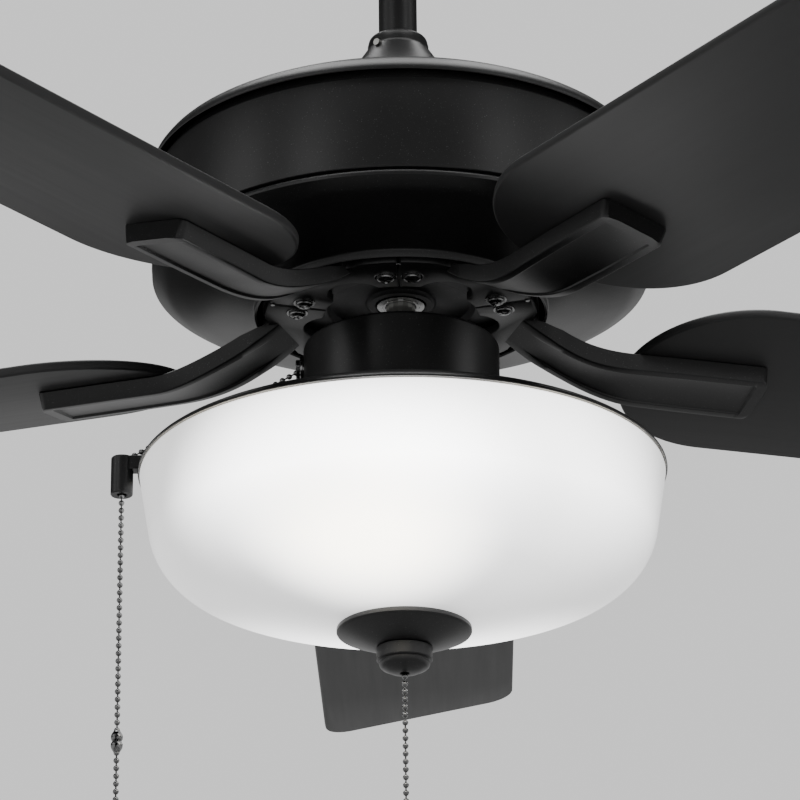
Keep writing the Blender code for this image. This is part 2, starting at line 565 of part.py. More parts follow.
def make_light():
    turned("fitter_pan", skin(pan_profile(), pan_wall), black)
    turned("glass_bowl", skin(glass_profile(), glass_wall), opal)
    bore = centre_rod_r + slip
    rod_end = knob_top - 5.2
    turned("centre_rod", ring(centre_rod_r - centre_rod_wall, centre_rod_r, pan_top + 5, rod_end), steel, fine)
    hex_nut("centre_rod_nut", 8.5, bore, pan_top + gap + 3, 3.0, steel)
    turned("rubber_washer", ring(bore, washer_r, washer_top, washer_top - washer_t), rubber, medium)
    disc = [(bore, disc_top), (disc_r, disc_top), (disc_r, disc_top - disc_rim_h), (knob_r, disc_top - disc_h),
            (bore, disc_top - disc_h)]
    turned("finial_disc", disc, black, coarse)
    top = knob_top
    knob = [(bore, top), (knob_r, top), (knob_r, top - 7), (knob_r - 1.5, top - 7.3), (knob_r - 1.5, top - 8.1),
            (knob_r - 1.1, top - 8.3), (knob_r - 2.7, top - 11.1), (8, top - 13), (chain_r + 0.8, knob_bottom),
            (chain_r + 0.8, top - 5.8), (bore, top - 5.8)]
    turned("finial_knob", knob, black, medium)
    plate = pan_top - pan_wall - gap
    bracket = box("socket_bracket", (-socket_half, -11, plate - socket_leg), (socket_half, 11, plate), steel)
    cut_box(bracket, (-socket_half + 1.6, -15, plate - socket_leg - 5), (socket_half - 1.6, 15, plate - 1.6))
    cut_rod(bracket, bore, (0, 0, plate - 5), (0, 0, plate + 3))
    for index, sign in ((1, -1), (2, 1)):
        base = socket_half + gap
        floor, mouth = 6.0, holder_len
        cup = [(0, floor), (holder_r - holder_wall, floor), (holder_r - holder_wall, mouth), (holder_r, mouth),
               (holder_r, 2), (holder_r - 2, 0), (0, 0)]
        way = "X" if sign > 0 else "-X"
        turned(f"lamp_holder_{index}", cup, phenolic, medium, (sign * base, 0, lamp_z), way, closed=False)
        tail, tip = floor + 0.6, lamp_tip_x - base
        body = [(0, tip), (lamp_r * 0.45, tip - 2.6), (lamp_r * 0.78, tip - 9), (lamp_r * 0.96, tip - 17),
                (lamp_r, tip - 25), (lamp_r * 0.96, tip - 34), (lamp_r * 0.82, tip - 46), (lamp_base_r + 1, mouth + 6),
                (lamp_base_r, mouth + 2), (lamp_base_r, tail + 6), (6, tail), (0, tail)]
        turned(f"lamp_{index}", body, lamp_white, medium, (sign * base, 0, lamp_z), way, closed=False)


def make_guide():
    guide = rod("chain_guide", guide_r, (guide_x, 0, guide_bottom), (guide_x, 0, guide_top), black, medium)
    shoulder = pan_top - 0.33 * pan_h
    add_box(guide, (guide_x, -4.5, guide_top - guide_arm_h), (-pan_r + 1.9, 4.5, guide_top - 0.02))
    add_box(guide, (guide_x, -4.4, shoulder + 1.0), (-pan_r + 24, 4.4, guide_top - 0.05))
    cut_rod(guide, 2.9, (guide_x, 0, guide_bottom - 3), (guide_x, 0, guide_top - 2.6))
    cut_rod(guide, 2.4, (guide_x - 3.2, 0, guide_top - 4.2), (guide_x + 18, 0, guide_top + 7.5))


def make_chains():
    mouth = -switch_r - 4
    lip = guide_top + chain_r + 0.4
    run = [(mouth + 7.5, neck_z + 2.1), (mouth + 3, neck_z - 0.4), (mouth - 4, neck_z - 4.3), (mouth - 40, neck_z - 25),
           (guide_x + 26, lip + 9.9), (guide_x + 10.5, lip + 1.35), (guide_x + 6.4, lip - 0.9)]
    chain("fan_chain_run", smooth_route([Vector((x, 0, z)) for x, z in run], 5))
    top = guide_top - 4.9

    def straight(name, x, start, length):
        count = round(length / 8)
        chain(name, [(x, 0, start - length * i / count) for i in range(count + 1)])
        return start - length

    end = straight("fan_chain_drop", guide_x, top, fan_drop_len)
    start = end - gap
    bell = [(0, start), (1.9, start), (2.3, start - 1.4), (connector_r, start - 3), (connector_r, start - 5),
            (2.5, start - 5.75), (connector_r, start - 6.5), (connector_r, start - 8.5), (2.3, start - 10.1),
            (1.9, start - connector_h), (0, start - connector_h)]
    turned("fan_chain_connector", bell, gunmetal, fine, closed=False)
    bpy.data.objects["fan_chain_connector"].location.x = guide_x * 0.001
    end = straight("fan_chain_lower", guide_x, start - connector_h - gap, fan_lower_len)
    fob_at = {"fan_chain_fob": (guide_x, end - gap)}
    end = straight("light_chain", 0, knob_top - 5 + pull_travel + 2, light_chain_len)
    fob_at["light_chain_fob"] = (0, end - gap)
    for name, (x, z) in fob_at.items():
        drop = [(0, 0), (2.2, 0), (2.6, -2), (2.2, -3.5), (3.4, -7), (fob_r - 0.4, -13), (fob_r, -17),
                (fob_r - 0.5, -20.5), (fob_r - 2.6, -fob_h + 0.7), (0, -fob_h)]
        turned(name, drop, black, fine, (x, 0, z), closed=False)


make_bracket()
make_canopy()
make_hanger()
make_cover()
make_shaft()
make_housing()
make_motor()
for number in range(blade_count):
    heading = pi / 2 + 2 * pi * number / blade_count
    make_iron(number + 1, heading)
    make_blade(number + 1, heading)
make_switch_housing()
make_light()
make_guide()
make_chains()
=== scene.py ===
import json
from math import asin, atan2, cos, pi, radians, sin, sqrt, tan

import bmesh
import bpy
from mathutils import Matrix, Vector


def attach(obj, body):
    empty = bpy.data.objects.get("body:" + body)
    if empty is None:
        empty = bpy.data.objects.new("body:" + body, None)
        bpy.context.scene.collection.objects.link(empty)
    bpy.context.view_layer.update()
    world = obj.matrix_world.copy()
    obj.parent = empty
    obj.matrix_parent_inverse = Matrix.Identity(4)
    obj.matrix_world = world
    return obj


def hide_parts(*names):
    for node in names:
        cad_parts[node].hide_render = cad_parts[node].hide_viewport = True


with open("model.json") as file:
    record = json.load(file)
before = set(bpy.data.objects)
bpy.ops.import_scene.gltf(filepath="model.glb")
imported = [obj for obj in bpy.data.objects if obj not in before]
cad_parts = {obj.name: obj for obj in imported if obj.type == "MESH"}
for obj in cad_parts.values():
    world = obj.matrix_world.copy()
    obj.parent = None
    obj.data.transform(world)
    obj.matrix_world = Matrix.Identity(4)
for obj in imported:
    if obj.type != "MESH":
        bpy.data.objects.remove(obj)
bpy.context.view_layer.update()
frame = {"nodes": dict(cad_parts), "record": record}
mm = 0.001


# camera and lights
cameraAt = {"place": (0.0287, -1.8488, -1.133), "pitch": 22.33, "yaw": 0.92, "roll": 0.6,
            "lens": 168.3, "sensor": 36}
cameraData = bpy.data.cameras.new("camera")
cameraData.lens = cameraAt["lens"]
cameraData.sensor_width = cameraAt["sensor"]
camera = bpy.data.objects.new("camera", cameraData)
bpy.context.scene.collection.objects.link(camera)
camera.matrix_world = (
    Matrix.Translation(cameraAt["place"])
    @ Matrix.Rotation(radians(cameraAt["yaw"]), 4, "Z")
    @ Matrix.Rotation(radians(cameraAt["pitch"]), 4, "X")
    @ Matrix.Rotation(radians(cameraAt["roll"]), 4, "Y")
    @ Matrix.Rotation(radians(90), 4, "X")
)
bpy.context.scene.camera = camera


def areaLight(name, place, aim, size, power):
    data = bpy.data.lights.new(name, "AREA")
    data.shape = "RECTANGLE"
    data.size, data.size_y = size
    data.energy = power
    light = bpy.data.objects.new(name, data)
    bpy.context.scene.collection.objects.link(light)
    light.location = place
    light.rotation_euler = (Vector(aim) - Vector(place)).to_track_quat("-Z", "Y").to_euler()


hub = (0, 0, -0.3)      # what the lights face
lamps = {
    "softLeftFront": {"place": (-1.9, -2.4, 0.95), "size": (0.9, 1.1), "power": 7},
    "softRightFront": {"place": (2.2, -1.95, 0.95), "size": (0.9, 1.1), "power": 7.5},
    "softLeft": {"place": (-2.9, -0.8, 0.9), "size": (1.2, 1.2), "power": 7},
    "softRight": {"place": (3.0, -0.4, 0.9), "size": (1.2, 1.2), "power": 7},
    "softAbove": {"place": (0, 0, 2.6), "size": (3.0, 3.0), "power": 130},      # floor and blade tops
}
for lampName, lamp in lamps.items():
    areaLight(lampName, lamp["place"], hub, lamp["size"], lamp["power"])

studio = {"seen": (0.94, 0.94, 0.94, 1), "pale": 1.0, "dim": 0.06, "paleUpTo": 0.1, "dimFrom": 0.3}
world = bpy.data.worlds.new("studio")
bpy.context.scene.world = world
world.use_nodes = True
worldNodes = world.node_tree
worldNodes.nodes.clear()
seen = worldNodes.nodes.new("ShaderNodeBackground")      # what the camera sees
seen.inputs["Color"].default_value = studio["seen"]
felt = worldNodes.nodes.new("ShaderNodeBackground")      # what lights the fan, pale low down and dim above
ways = worldNodes.nodes.new("ShaderNodeSeparateXYZ")
worldNodes.links.new(worldNodes.nodes.new("ShaderNodeTexCoord").outputs["Generated"], ways.inputs[0])
fade = worldNodes.nodes.new("ShaderNodeMapRange")
fade.interpolation_type = "SMOOTHSTEP"
for socket, value in (("From Min", studio["paleUpTo"]), ("From Max", studio["dimFrom"]),
                      ("To Min", studio["pale"]), ("To Max", studio["dim"])):
    fade.inputs[socket].default_value = value
worldNodes.links.new(ways.outputs["Z"], fade.inputs["Value"])
worldNodes.links.new(fade.outputs["Result"], felt.inputs["Strength"])
whose = worldNodes.nodes.new("ShaderNodeLightPath")
either = worldNodes.nodes.new("ShaderNodeMixShader")
worldOut = worldNodes.nodes.new("ShaderNodeOutputWorld")
worldNodes.links.new(whose.outputs["Is Camera Ray"], either.inputs[0])
worldNodes.links.new(felt.outputs[0], either.inputs[1])
worldNodes.links.new(seen.outputs[0], either.inputs[2])
worldNodes.links.new(either.outputs[0], worldOut.inputs[0])
print("camera and lights")


# materials
def link(tree, start, end):
    tree.links.new(start, end)


def noiseNode(tree, where, scale, detail=3.0, rough=0.5):
    noise = tree.nodes.new("ShaderNodeTexNoise")
    noise.inputs["Scale"].default_value = scale
    noise.inputs["Detail"].default_value = detail
    noise.inputs["Roughness"].default_value = rough
    link(tree, where, noise.inputs["Vector"])
    return noise


def rangeNode(tree, value, low, high, fromLow=0.3, fromHigh=0.7):
    span = tree.nodes.new("ShaderNodeMapRange")
    span.inputs["From Min"].default_value = fromLow
    span.inputs["From Max"].default_value = fromHigh
    span.inputs["To Min"].default_value = low
    span.inputs["To Max"].default_value = high
    link(tree, value, span.inputs["Value"])
    return span.outputs["Result"]


surface = {"peel": 900.0, "depth": 0.2, "patch": 14.0, "specks": 1500, "dust": (0.69, 0.76),
           "bump": 0.00012}


def makeGrainGroup():
    # shared fine surface: a peel bump, a slow patchiness and sparse dust
    group = bpy.data.node_groups.new("fineSurface", "ShaderNodeTree")
    for name, kind, default in (
        ("Vector", "NodeSocketVector", None),
        ("Peel Scale", "NodeSocketFloat", surface["peel"]),
        ("Peel Depth", "NodeSocketFloat", surface["depth"]),
        ("Patch Scale", "NodeSocketFloat", surface["patch"]),
    ):
        socket = group.interface.new_socket(name, in_out="INPUT", socket_type=kind)
        if default is not None:
            socket.default_value = default
    for name, kind in (("Patch", "NodeSocketFloat"), ("Dust", "NodeSocketFloat"),
                       ("Normal", "NodeSocketVector")):
        group.interface.new_socket(name, in_out="OUTPUT", socket_type=kind)
    inputs = group.nodes.new("NodeGroupInput")
    outputs = group.nodes.new("NodeGroupOutput")
    peel = noiseNode(group, inputs.outputs["Vector"], surface["peel"], 2.0)
    link(group, inputs.outputs["Peel Scale"], peel.inputs["Scale"])
    patch = noiseNode(group, inputs.outputs["Vector"], surface["patch"], 4.0, 0.6)
    link(group, inputs.outputs["Patch Scale"], patch.inputs["Scale"])
    specks = noiseNode(group, inputs.outputs["Vector"], surface["specks"], 1.0)
    dust = rangeNode(group, specks.outputs["Fac"], 0, 1, *surface["dust"])
    bump = group.nodes.new("ShaderNodeBump")
    bump.inputs["Distance"].default_value = surface["bump"]
    link(group, inputs.outputs["Peel Depth"], bump.inputs["Strength"])
    link(group, peel.outputs["Fac"], bump.inputs["Height"])
    link(group, rangeNode(group, patch.outputs["Fac"], 0, 1), outputs.inputs["Patch"])
    link(group, dust, outputs.inputs["Dust"])
    link(group, bump.outputs["Normal"], outputs.inputs["Normal"])
    return group


grainGroup = makeGrainGroup()


def startMaterial(name):
    made = bpy.data.materials.new(name)
    made.use_nodes = True
    tree = made.node_tree
    shader = tree.nodes["Principled BSDF"]
    where = tree.nodes.new("ShaderNodeTexCoord").outputs["Object"]
    return made, tree, shader, where


def addGrain(tree, where, scale, depth, patchScale):
    node = tree.nodes.new("ShaderNodeGroup")
    node.node_tree = grainGroup
    node.inputs["Peel Scale"].default_value = scale
    node.inputs["Peel Depth"].default_value = depth
    node.inputs["Patch Scale"].default_value = patchScale
    link(tree, where, node.inputs["Vector"])
    return node


def mixColours(tree, factor, first, second):
    mix = tree.nodes.new("ShaderNodeMix")
    mix.data_type = "RGBA"
    for socket, value in ((mix.inputs[6], first), (mix.inputs[7], second)):
        if isinstance(value, tuple):
            socket.default_value = (*value, 1)
        else:
            link(tree, value, socket)
    if isinstance(factor, float):
        mix.inputs[0].default_value = factor
    else:
        link(tree, factor, mix.inputs[0])
    return mix.outputs[2]


def plainFinish(name, dark, light, roughness, metallic=0.0, scale=900.0, depth=0.2, patchScale=14.0):
    # two near tones in slow patches, roughness that varies with them, and a fine bump
    made, tree, shader, where = startMaterial(name)
    grain = addGrain(tree, where, scale, depth, patchScale)
    toned = mixColours(tree, grain.outputs["Patch"], dark, light)
    dusty = mixColours(tree, rangeNode(tree, grain.outputs["Dust"], 0, 0.22, 0, 1), toned, (0.3, 0.3, 0.3))
    link(tree, dusty, shader.inputs["Base Color"])
    low, high = roughness
    link(tree, rangeNode(tree, grain.outputs["Patch"], low, high, 0, 1), shader.inputs["Roughness"])
    link(tree, grain.outputs["Normal"], shader.inputs["Normal"])
    shader.inputs["Metallic"].default_value = metallic
    return made


def bladeFinish():
    made, tree, shader, where = startMaterial("bladeFinish")
    stretch = tree.nodes.new("ShaderNodeMapping")
    stretch.inputs["Scale"].default_value = (6, 130, 130)
    link(tree, where, stretch.inputs["Vector"])
    streaks = noiseNode(tree, stretch.outputs["Vector"], 1.4, 6.0, 0.62)
    grain = addGrain(tree, where, 1100.0, 0.1, 5.0)
    streak = rangeNode(tree, streaks.outputs["Fac"], 0, 1, 0.35, 0.65)
    toned = mixColours(tree, streak, (0.012, 0.012, 0.0123), (0.0135, 0.0135, 0.0138))
    link(tree, toned, shader.inputs["Base Color"])
    link(tree, rangeNode(tree, streaks.outputs["Fac"], 0.49, 0.54), shader.inputs["Roughness"])
    pores = tree.nodes.new("ShaderNodeBump")
    pores.inputs["Strength"].default_value = 0.12
    pores.inputs["Distance"].default_value = 0.0001
    link(tree, streaks.outputs["Fac"], pores.inputs["Height"])
    link(tree, grain.outputs["Normal"], pores.inputs["Normal"])
    link(tree, pores.outputs["Normal"], shader.inputs["Normal"])
    return made


def glowAround(tree, where, centre, reach):
    # 1 at a lamp, falling to 0 at its reach
    away = tree.nodes.new("ShaderNodeVectorMath")
    away.operation = "DISTANCE"
    link(tree, where, away.inputs[0])
    away.inputs[1].default_value = centre
    fall = rangeNode(tree, away.outputs["Value"], 1, 0, reach[0], reach[1])
    fall.node.interpolation_type = "SMOOTHSTEP"
    return fall


def addValues(tree, first, second, operation="ADD"):
    node = tree.nodes.new("ShaderNodeMath")
    node.operation = operation
    for socket, value in zip(node.inputs, (first, second)):
        if isinstance(value, (int, float)):
            socket.default_value = value
        else:
            link(tree, value, socket)
    return node.outputs[0]


opal = {
    "pools": {
        "near": {"at": (-0.03, -0.1, -0.695), "reach": (0.03, 0.11)},
        "wide": {"at": (0.06, -0.1, -0.695), "reach": (0.03, 0.13)},
        "behind": {"at": (0, 0.1, -0.695), "reach": (0.03, 0.13)},
        "under": {"at": (-0.018, -0.085, -0.72), "reach": (0.012, 0.08)},
    },
    "wall": {"near": 6, "wide": 3.4},
    "cone": {"under": 5.4, "wide": 1.0, "near": 1.0},
    "soft": {"behind": 2.6, "everywhere": 0.9},
    "seam": (-0.485, -0.456),      # the cone's light gives way to the wall's between these heights
    "flatten": 1.5,
}


def opalFinish():
    # opal glass lit by the lamps behind it: milky body, a glossy skin and soft pools of light
    made, tree, shader, where = startMaterial("opalGlass")
    cloud = noiseNode(tree, where, 9, 3.0)
    clouded = rangeNode(tree, cloud.outputs["Fac"], 0, 1)
    milky = mixColours(tree, clouded, (0.8, 0.8, 0.8), (0.84, 0.84, 0.83))
    link(tree, milky, shader.inputs["Base Color"])
    shader.inputs["Roughness"].default_value = 0.3
    shader.inputs["Specular IOR Level"].default_value = 0.45
    shader.inputs["Subsurface Weight"].default_value = 0.25
    shader.inputs["Subsurface Radius"].default_value = (0.006, 0.006, 0.0055)
    tall = tree.nodes.new("ShaderNodeVectorMath")        # pools of light, flatter than they are wide
    tall.operation = "MULTIPLY"
    link(tree, where, tall.inputs[0])
    tall.inputs[1].default_value = (1, 1, opal["flatten"])
    pools = {name: glowAround(tree, tall.outputs["Vector"], pool["at"], pool["reach"])
             for name, pool in opal["pools"].items()}

    def lit(pool, place):
        return addValues(tree, pools[pool], opal[place][pool], "MULTIPLY")

    soft = addValues(tree, lit("behind", "soft"), opal["soft"]["everywhere"])
    wall = addValues(tree, lit("near", "wall"), lit("wide", "wall"))
    cone = addValues(tree, lit("under", "cone"), lit("wide", "cone"))
    cone = addValues(tree, cone, lit("near", "cone"))
    parts = tree.nodes.new("ShaderNodeSeparateXYZ")
    link(tree, where, parts.inputs[0])
    light = tree.nodes.new("ShaderNodeMix")
    link(tree, rangeNode(tree, parts.outputs["Z"], 0, 1, *opal["seam"]), light.inputs[0])
    link(tree, cone, light.inputs[2])
    link(tree, wall, light.inputs[3])
    warmth = mixColours(tree, pools["under"], (1, 1, 1), (1, 0.94, 0.81))
    link(tree, warmth, shader.inputs["Emission Color"])
    link(tree, addValues(tree, light.outputs[0], soft), shader.inputs["Emission Strength"])
    ripple = tree.nodes.new("ShaderNodeBump")
    ripple.inputs["Strength"].default_value = 0.05
    ripple.inputs["Distance"].default_value = 0.0004
    link(tree, cloud.outputs["Fac"], ripple.inputs["Height"])
    link(tree, ripple.outputs["Normal"], shader.inputs["Normal"])
    return made


def stripedFinish(name, dark, light, roughness, metallic, spacing):
    # fine turns of wire or stacked sheets, as stripes up the axis
    made, tree, shader, where = startMaterial(name)
    stripes = tree.nodes.new("ShaderNodeTexWave")
    stripes.bands_direction = "Z"
    stripes.inputs["Scale"].default_value = 0.314 / spacing
    stripes.inputs["Distortion"].default_value = 0.3
    link(tree, where, stripes.inputs["Vector"])
    link(tree, mixColours(tree, stripes.outputs["Fac"], dark, light), shader.inputs["Base Color"])
    link(tree, rangeNode(tree, stripes.outputs["Fac"], *roughness, 0, 1), shader.inputs["Roughness"])
    shader.inputs["Metallic"].default_value = metallic
    bump = tree.nodes.new("ShaderNodeBump")
    bump.inputs["Strength"].default_value = 0.5
    bump.inputs["Distance"].default_value = 0.0002
    link(tree, stripes.outputs["Fac"], bump.inputs["Height"])
    link(tree, bump.outputs["Normal"], shader.inputs["Normal"])
    return made


def lampFinish():
    made, tree, shader, where = startMaterial("lampGlass")
    cloud = noiseNode(tree, where, 40, 2.0)
    body = mixColours(tree, cloud.outputs["Fac"], (0.86, 0.85, 0.8), (0.92, 0.91, 0.88))
    glow = mixColours(tree, cloud.outputs["Fac"], (1, 0.86, 0.62), (1, 0.9, 0.7))
    link(tree, body, shader.inputs["Base Color"])
    link(tree, glow, shader.inputs["Emission Color"])
    shader.inputs["Emission Strength"].default_value = 3.0
    link(tree, rangeNode(tree, cloud.outputs["Fac"], 0.35, 0.5), shader.inputs["Roughness"])
    return made


finishes = {
    "satin_black": plainFinish("satinBlack", (0.0065, 0.0065, 0.0067), (0.0085, 0.0085, 0.0087),
                               (0.36, 0.43)),
    "blade_black": bladeFinish(),
    "zinc_steel": plainFinish("zincSteel", (0.42, 0.42, 0.4), (0.6, 0.6, 0.57), (0.28, 0.42),
                              metallic=1.0, scale=400, depth=0.25, patchScale=60),
    "bright_nickel": plainFinish("brightNickel", (0.24, 0.24, 0.24), (0.36, 0.36, 0.36), (0.16, 0.26),
                                 metallic=1.0, scale=700, depth=0.08, patchScale=90),
    "core_steel": plainFinish("castAlloy", (0.035, 0.035, 0.037), (0.06, 0.06, 0.062), (0.45, 0.6),
                              metallic=0.7, scale=500, depth=0.4, patchScale=40),
    "cast_alloy": plainFinish("darkAlloy", (0.02, 0.02, 0.021), (0.035, 0.035, 0.036), (0.4, 0.55),
                              metallic=0.6, scale=500, depth=0.4, patchScale=40),
    "copper_wire": stripedFinish("copperWire", (0.3, 0.1, 0.03), (0.75, 0.34, 0.13), (0.3, 0.5),
                                 metallic=1.0, spacing=0.0008),
    "phenolic": plainFinish("mouldedBlack", (0.02, 0.019, 0.018), (0.03, 0.028, 0.026), (0.42, 0.55),
                            scale=600, depth=0.3, patchScale=30),
    "opal_glass": opalFinish(),
    "lamp_white": lampFinish(),
    "rubber": plainFinish("rubber", (0.012, 0.012, 0.012), (0.02, 0.02, 0.02), (0.7, 0.85),
                          scale=500, depth=0.4, patchScale=50),
    "gunmetal_chain": plainFinish("gunmetal", (0.15, 0.15, 0.15), (0.25, 0.25, 0.25), (0.16, 0.28),
                                  metallic=1.0, scale=900, depth=0.1, patchScale=80),
}
laminations = stripedFinish("laminations", (0.12, 0.12, 0.125), (0.3, 0.3, 0.31), (0.35, 0.55),
                            metallic=0.9, spacing=0.001)
slotOf = {piece["node"]: piece["material_slot"] for piece in frame["record"]["subparts"]}
for node, thing in frame["nodes"].items():
    thing.data.materials.clear()
    thing.data.materials.append(laminations if node == "stator_core" else finishes[slotOf[node]])
print("materials")


# making pieces
def place(name, mesh, slot, body, replaces=(), sharp=32, matrix=None):
    # puts a mesh in millimetres on its body, in place of its CAD nodes
    mesh.transform(Matrix.Scale(mm, 4))
    mesh.shade_smooth()
    mesh.set_sharp_from_angle(angle=radians(sharp))
    mesh.materials.append(finishes[slot])
    thing = bpy.data.objects.new(name, mesh)
    bpy.context.scene.collection.objects.link(thing)
    if matrix is not None:
        thing.matrix_world = matrix
    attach(thing, body)
    if replaces:
        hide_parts(*replaces)
    return thing


def finishMesh(name, shape, recalc=True):
    mesh = bpy.data.meshes.new(name)
    if recalc:
        bmesh.ops.recalc_face_normals(shape, faces=shape.faces)
    shape.to_mesh(mesh)
    shape.free()
    return mesh


def smoothLine(points, spacing):
    # points about this far apart on one smooth curve through these
    points = [Vector(point) for point in points]
    ends = [2 * points[0] - points[1], *points, 2 * points[-1] - points[-2]]
    line = []
    for before, start, end, after in zip(ends, ends[1:], ends[2:], ends[3:]):
        count = max(1, round((end - start).length / spacing))
        for step in range(count):
            t = step / count
            line.append(
                0.5 * (2 * start + (end - before) * t + (2 * before - 5 * start + 4 * end - after) * t ** 2
                       + (3 * start - before - 3 * end + after) * t ** 3)
            )
    line.append(points[-1])
    return line


def curve(points, spacing):
    return [tuple(point) for point in smoothLine(points, spacing)]


def arcLine(centre, radius, start, end, count=6):
    turns = [radians(start + (end - start) * i / count) for i in range(count + 1)]
    return [(centre[0] + radius * cos(t), centre[1] + radius * sin(t)) for t in turns]


def skin(outer, wall):
    # a closed profile: the outside, top to bottom, then the same line set in by the wall
    outer = [Vector(point) for point in outer]
    ways = [(b - a).normalized() for a, b in zip(outer, outer[1:])]
    normals = [Vector((-way.y, way.x)) for way in ways]
    inner = []
    for i, point in enumerate(outer):
        first, last = normals[max(i - 1, 0)], normals[min(i, len(normals) - 1)]
        middle = (first + last).normalized()
        inner.append(point - middle * (wall / max(middle.dot(first), 0.4)))
    return [tuple(point) for point in outer + inner[::-1]]


def facing(way):
    # the turn that stands an upright shape along a way
    return Vector(way).to_track_quat("Z", "Y").to_matrix()


def ramp(value, start, end):
    return min(max((value - start) / (end - start), 0), 1)


def joinRings(shape, rings):
    # faces between each ring of points and the next
    for upper, lower in zip(rings, rings[1:]):
        for i in range(len(upper)):
            j = (i + 1) % len(upper)
            shape.faces.new((upper[i], upper[j], lower[j], lower[i]))


def insetRows(shape, outline, levels):
    # one outline at several heights, each set in by its own amount, with a wall between them
    rows = []
    for inset, z in levels:
        row = []
        for i, point in enumerate(outline):
            before, after = Vector(outline[i - 1]), Vector(outline[(i + 1) % len(outline)])
            way = (after - before).normalized()
            x, y = Vector(point) + Vector((way.y, -way.x)) * inset
            row.append(shape.verts.new((x, y, z)))
        rows.append(row)
    joinRings(shape, rows)
    return rows


def lathed(shape, profile, sides, centre=(0, 0, 0), turn=None, closed=True):
    # adds a profile of (radius, height) turned about its axis to a bmesh
    rings = []
    for r, z in profile:
        count = 1 if r < 1e-6 else sides
        ring = []
        for i in range(count):
            point = Vector((r * cos(2 * pi * i / sides), r * sin(2 * pi * i / sides), z))
            if turn is not None:
                point = turn @ point
            ring.append(shape.verts.new(point + Vector(centre)))
        rings.append(ring)
    pairs = list(zip(rings, rings[1:]))
    if closed:
        pairs.append((rings[-1], rings[0]))
    for upper, lower in pairs:
        if len(upper) == 1 and len(lower) == 1:
            continue
        for i in range(sides):
            j = (i + 1) % sides
            corners = [upper[i % len(upper)], upper[j % len(upper)],
                       lower[j % len(lower)], lower[i % len(lower)]]
            kept = [c for k, c in enumerate(corners) if c not in corners[:k]]
            if len(kept) > 2:
                shape.faces.new(kept)


def turnedPiece(name, profile, slot, body, replaces=(), sides=128, centre=(0, 0, 0), turn=None, closed=True,
                sharp=32):
    shape = bmesh.new()
    lathed(shape, profile, sides, centre, turn, closed)
    return place(name, finishMesh(name, shape), slot, body, replaces, sharp)


def cutFrom(mesh, shape):
    # takes one closed shape out of a mesh, both in millimetres
    cutter = finishMesh("cutter", shape)
    pair = [bpy.data.objects.new("kept", mesh), bpy.data.objects.new("cutter", cutter)]
    for thing in pair:
        bpy.context.scene.collection.objects.link(thing)
    cut = pair[0].modifiers.new("cut", "BOOLEAN")
    cut.operation, cut.solver, cut.use_self, cut.object = "DIFFERENCE", "EXACT", True, pair[1]
    settled = pair[0].evaluated_get(bpy.context.evaluated_depsgraph_get())
    made = bpy.data.meshes.new_from_object(settled)
    for thing in pair:
        bpy.data.objects.remove(thing)
    return made


def bored(mesh, start, way, length, radius):
    # a hole from a point along a way
    shape = bmesh.new()
    lathed(shape, [(0, 0), (radius, 0), (radius, length), (0, length)], 32, start, facing(way), False)
    return cutFrom(mesh, shape)


def slotted(mesh, low, high):
    # a square slot between two corners
    shape = bmesh.new()
    bmesh.ops.create_cube(shape, size=1)
    size = Vector(high) - Vector(low)
    bmesh.ops.scale(shape, vec=size, verts=shape.verts)
    bmesh.ops.translate(shape, vec=Vector(low) + size / 2, verts=shape.verts)
    return cutFrom(mesh, shape)


# bead chains
bead = {"radius": 1.58, "pitch": 4.2, "wire": 0.42, "sides": 14, "wireSides": 6}


def walk(route, spacing):
    # points this far apart along a route, with the way it runs at each
    found = [(route[0], (route[1] - route[0]).normalized())]
    due = spacing
    done = 0.0
    for start, end in zip(route, route[1:]):
        length = (end - start).length
        while due <= done + length:
            found.append((start + (end - start) * ((due - done) / length), (end - start).normalized()))
            due += spacing
        done += length
    return found


def beadChain(name, route, body, node):
    # hollow round beads on short wires, along a route in millimetres
    shape = bmesh.new()
    length = sum((b - a).length for a, b in zip(route, route[1:]))
    stops = walk(route, (length - 0.01) / round(length / bead["pitch"]))
    r = bead["radius"]
    beadProfile = [(0, r)] + [(r * sin(t * pi / 8), r * cos(t * pi / 8)) for t in range(1, 8)] + [(0, -r)]
    for at, way in stops:
        lathed(shape, beadProfile, bead["sides"], at, facing(way), closed=False)
    for (start, _), (end, _) in zip(stops, stops[1:]):
        way = end - start
        half = way.length / 2
        wire = [(bead["wire"], half), (bead["wire"], -half)]
        lathed(shape, wire, bead["wireSides"], (start + end) / 2, facing(way), closed=False)
    return place(name, finishMesh(name, shape), "gunmetal_chain", body, (node,), 60)


chainRoutes = {
    "run": [(-49.1, -352.9), (-53.6, -355.4), (-60.6, -359.3), (-96.6, -380), (-123, -392.2),
            (-138.5, -400.75), (-142.6, -403)],
    "guide": {"x": -149.0, "top": -409.0, "bottom": -425.5},
    "drop": 146.4, "lower": 112.0,
    "light": {"top": -507.6, "length": 205.0, "exit": -527.0},
    "connector": 11.5, "gap": 0.3, "diameter": 3.2,
}
runRoute = smoothLine([(x, 0, z) for x, z in chainRoutes["run"]], 2.0)
guideX = chainRoutes["guide"]["x"]


def straightRoute(x, top, length):
    count = round(length / 4)
    return [Vector((x, 0, top - length * i / count)) for i in range(count + 1)]


dropTop = chainRoutes["guide"]["top"]
dropRoute = straightRoute(guideX, dropTop, chainRoutes["drop"])
connectorTop = dropTop - chainRoutes["drop"] - chainRoutes["gap"]
lowerTop = connectorTop - chainRoutes["connector"] - chainRoutes["gap"]
lowerRoute = straightRoute(guideX, lowerTop, chainRoutes["lower"])
lightRoute = straightRoute(0, chainRoutes["light"]["top"], chainRoutes["light"]["length"])

